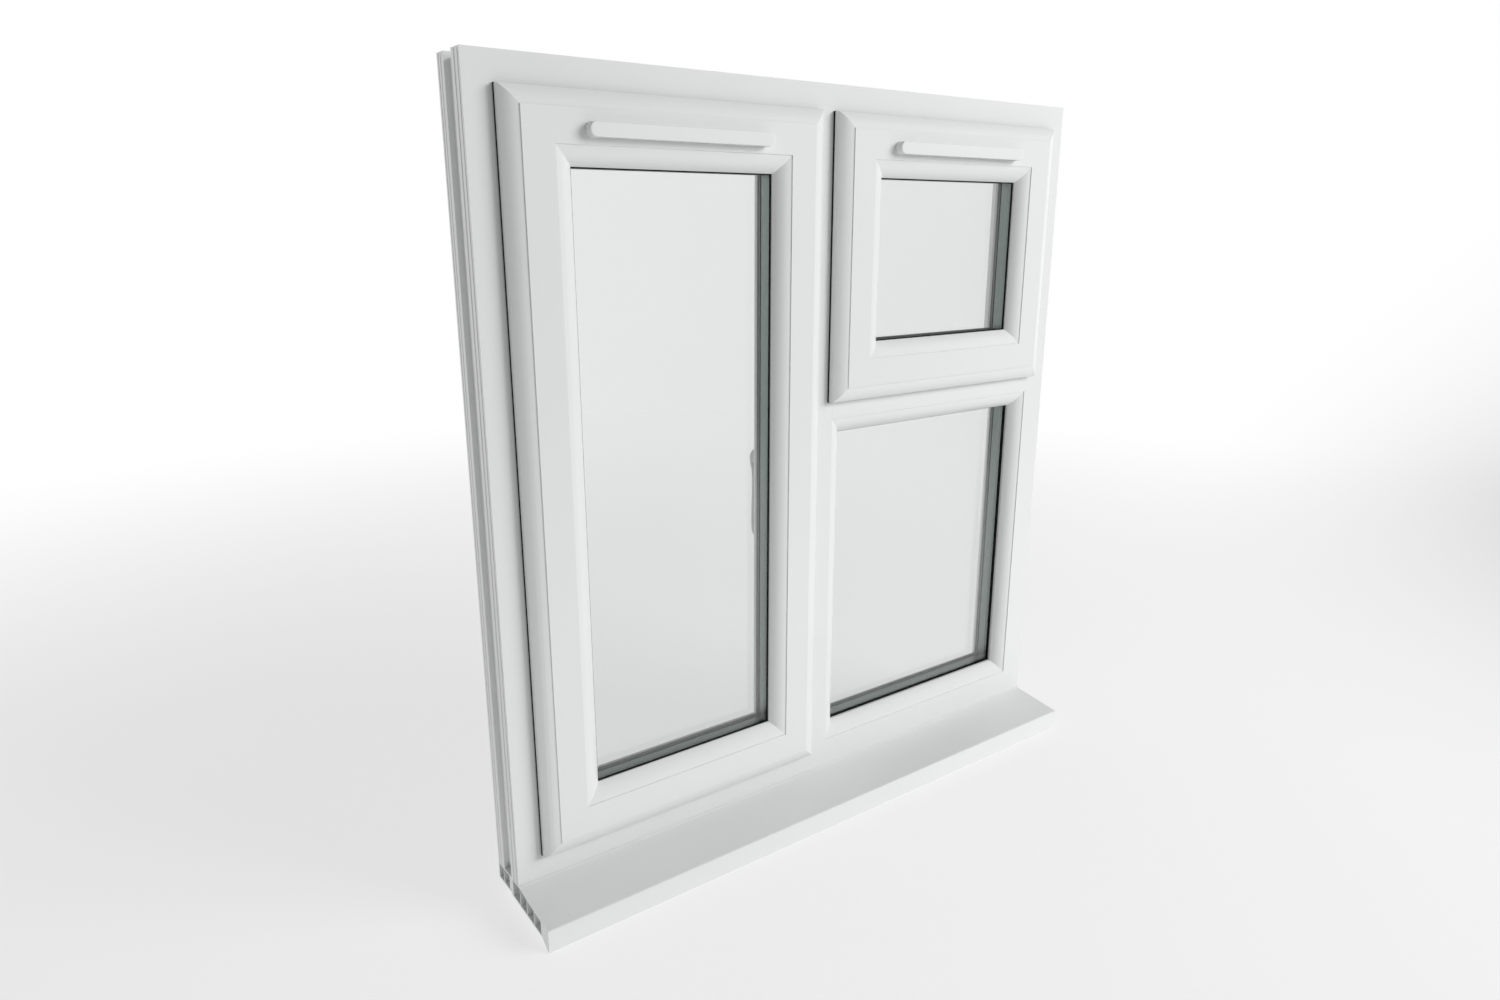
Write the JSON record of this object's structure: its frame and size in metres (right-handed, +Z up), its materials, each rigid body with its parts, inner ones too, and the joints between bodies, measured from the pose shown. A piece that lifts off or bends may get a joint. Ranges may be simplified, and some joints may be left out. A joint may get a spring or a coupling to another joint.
{
  "type": "casement window",
  "caption": "White vinyl window with a side-hung casement, a top-hung vent over a fixed light, friction stays, lever handles, trickle vents and a projecting cill.",
  "frame": {"origin": "middle of the bearing face under the cill's back foot, at the middle of the window's width, 50 mm behind the outer face of the frame", "axes": "+X to the right seen from outside, +Y from outside to the room, +Z up"},
  "size_m": [1.04, 0.1693, 1.109],
  "materials": {
    "upvc": "satin white extruded vinyl",
    "glass": "clear float glass",
    "gasket": "black rubber",
    "spacer": "mill finish",
    "steel": "galvanised",
    "stay_steel": "brushed stainless",
    "lock_steel": "bright zinc plated",
    "shoe_plastic": "black nylon",
    "handle_paint": "white powder coat",
    "button_metal": "white powder coat",
    "vent_plastic": "satin white moulded"
  },
  "bodies": {
    "frame": {"casement_stay_tracks": "stay_steel", "cill": "upvc", "fixed_beads": "upvc", "fixed_gaskets": "gasket", "fixed_inner_pane": "glass", "fixed_outer_pane": "glass", "fixed_spacer": "spacer", "frame_bottom_rail": "upvc", "frame_head": "upvc", "frame_left_jamb": "upvc", "frame_reinforcements": "steel", "frame_right_jamb": "upvc", "lock_keeps": "lock_steel", "mullion": "upvc", "transom": "upvc", "vent_stay_tracks": "stay_steel"},
    "casement_short_arms_body": {"casement_short_arms": "stay_steel"},
    "casement_long_arms_body": {"casement_long_arms": "stay_steel"},
    "casement_stay_shoes_body": {"casement_stay_shoes": "shoe_plastic"},
    "casement_lock_bar_body": {"casement_lock_bar": "lock_steel"},
    "casement_handle_lever_body": {"casement_handle_lever": "handle_paint"},
    "casement_handle_button_body": {"casement_handle_button": "button_metal"},
    "casement_trickle_shutter_body": {"casement_trickle_shutter": "vent_plastic"},
    "casement_sash": {"casement_beads": "upvc", "casement_bottom_rail": "upvc", "casement_espagnolette": "lock_steel", "casement_handle_base": "handle_paint", "casement_hinge_stile": "upvc", "casement_inner_pane": "glass", "casement_lock_stile": "upvc", "casement_outer_pane": "glass", "casement_reinforcements": "steel", "casement_seals": "gasket", "casement_spacer": "spacer", "casement_stay_bars": "stay_steel", "casement_top_rail": "upvc", "casement_trickle_canopy": "vent_plastic", "casement_trickle_ventilator": "vent_plastic"},
    "vent_short_arms_body": {"vent_short_arms": "stay_steel"},
    "vent_long_arms_body": {"vent_long_arms": "stay_steel"},
    "vent_stay_shoes_body": {"vent_stay_shoes": "shoe_plastic"},
    "vent_lock_bar_body": {"vent_lock_bar": "lock_steel"},
    "vent_handle_lever_body": {"vent_handle_lever": "handle_paint"},
    "vent_handle_button_body": {"vent_handle_button": "button_metal"},
    "vent_trickle_shutter_body": {"vent_trickle_shutter": "vent_plastic"},
    "vent_sash": {"vent_beads": "upvc", "vent_bottom_rail": "upvc", "vent_espagnolette": "lock_steel", "vent_handle_base": "handle_paint", "vent_inner_pane": "glass", "vent_left_stile": "upvc", "vent_outer_pane": "glass", "vent_reinforcements": "steel", "vent_right_stile": "upvc", "vent_seals": "gasket", "vent_spacer": "spacer", "vent_stay_bars": "stay_steel", "vent_top_rail": "upvc", "vent_trickle_canopy": "vent_plastic", "vent_trickle_ventilator": "vent_plastic"}
  },
  "joints": [
    {"name": "casement_stay_swing", "type": "hinge", "parent": "frame", "child": "casement_short_arms_body", "pos_m": [-0.3, -0.022, 0.5579], "axis": [0, 0, 1], "range_deg": [0, 57]},
    {"name": "casement_sash_pivot", "type": "hinge", "parent": "casement_short_arms_body", "child": "casement_sash", "pos_m": [-0.4, -0.022, 0.5579], "axis": [0, 0, 1], "range_deg": [-114.01, 0]},
    {"name": "casement_long_arm_pivot", "type": "hinge", "parent": "casement_sash", "child": "casement_long_arms_body", "pos_m": [-0.35, -0.022, 0.5579], "axis": [0, 0, 1], "range_deg": [0, 114.01]},
    {"name": "casement_shoe_pivot", "type": "hinge", "parent": "casement_long_arms_body", "child": "casement_stay_shoes_body", "pos_m": [-0.2, -0.022, 0.5579], "axis": [0, 0, 1], "range_deg": [-57.01, 0]},
    {"name": "casement_handle_turn", "type": "hinge", "parent": "casement_sash", "child": "casement_handle_lever_body", "pos_m": [-0.0682, -0.002, 0.5579], "axis": [0, 1, 0], "range_deg": [0, 90]},
    {"name": "casement_lock_slide", "type": "slide", "parent": "casement_sash", "child": "casement_lock_bar_body", "axis": [0, 0, 1], "range_m": [0, 0.01801]},
    {"name": "casement_button_press", "type": "slide", "parent": "casement_handle_lever_body", "child": "casement_handle_button_body", "axis": [0, -1, 0], "range_m": [0, 0.003], "stiffness_N_per_m": 400, "springref_m": -0.001},
    {"name": "casement_shutter_tilt", "type": "hinge", "parent": "casement_sash", "child": "casement_trickle_shutter_body", "pos_m": [-0.2481, 0.008, 1.0044], "axis": [1, 0, 0], "range_deg": [0, 40]},
    {"name": "vent_stay_swing", "type": "hinge", "parent": "frame", "child": "vent_short_arms_body", "pos_m": [0.2499, -0.022, 0.9094], "axis": [1, 0, 0], "range_deg": [0, 45]},
    {"name": "vent_sash_pivot", "type": "hinge", "parent": "vent_short_arms_body", "child": "vent_sash", "pos_m": [0.2499, -0.022, 0.9894], "axis": [1, 0, 0], "range_deg": [-90.01, 0]},
    {"name": "vent_long_arm_pivot", "type": "hinge", "parent": "vent_sash", "child": "vent_long_arms_body", "pos_m": [0.2499, -0.022, 0.9494], "axis": [1, 0, 0], "range_deg": [0, 90.01]},
    {"name": "vent_shoe_pivot", "type": "hinge", "parent": "vent_long_arms_body", "child": "vent_stay_shoes_body", "pos_m": [0.2499, -0.022, 0.8294], "axis": [1, 0, 0], "range_deg": [-45.01, 0]},
    {"name": "vent_handle_turn", "type": "hinge", "parent": "vent_sash", "child": "vent_handle_lever_body", "pos_m": [0.2499, -0.002, 0.6991], "axis": [0, 1, 0], "range_deg": [0, 90]},
    {"name": "vent_lock_slide", "type": "slide", "parent": "vent_sash", "child": "vent_lock_bar_body", "axis": [1, 0, 0], "range_m": [0, 0.01801]},
    {"name": "vent_button_press", "type": "slide", "parent": "vent_handle_lever_body", "child": "vent_handle_button_body", "axis": [0, -1, 0], "range_m": [0, 0.003], "stiffness_N_per_m": 400, "springref_m": -0.001},
    {"name": "vent_shutter_tilt", "type": "hinge", "parent": "vent_sash", "child": "vent_trickle_shutter_body", "pos_m": [0.2499, 0.008, 1.0044], "axis": [1, 0, 0], "range_deg": [0, 40]}
  ],
  "couplings": [
    {"joint": "casement_sash_pivot", "follows": "casement_stay_swing", "ratio": -2},
    {"joint": "casement_long_arm_pivot", "follows": "casement_stay_swing", "ratio": 2},
    {"joint": "casement_shoe_pivot", "follows": "casement_stay_swing", "ratio": -1},
    {"joint": "casement_lock_slide", "follows": "casement_handle_turn", "m_per_rad": 0.011459},
    {"joint": "vent_sash_pivot", "follows": "vent_stay_swing", "ratio": -2},
    {"joint": "vent_long_arm_pivot", "follows": "vent_stay_swing", "ratio": 2},
    {"joint": "vent_shoe_pivot", "follows": "vent_stay_swing", "ratio": -1},
    {"joint": "vent_lock_slide", "follows": "vent_handle_turn", "m_per_rad": 0.011459}
  ]
}
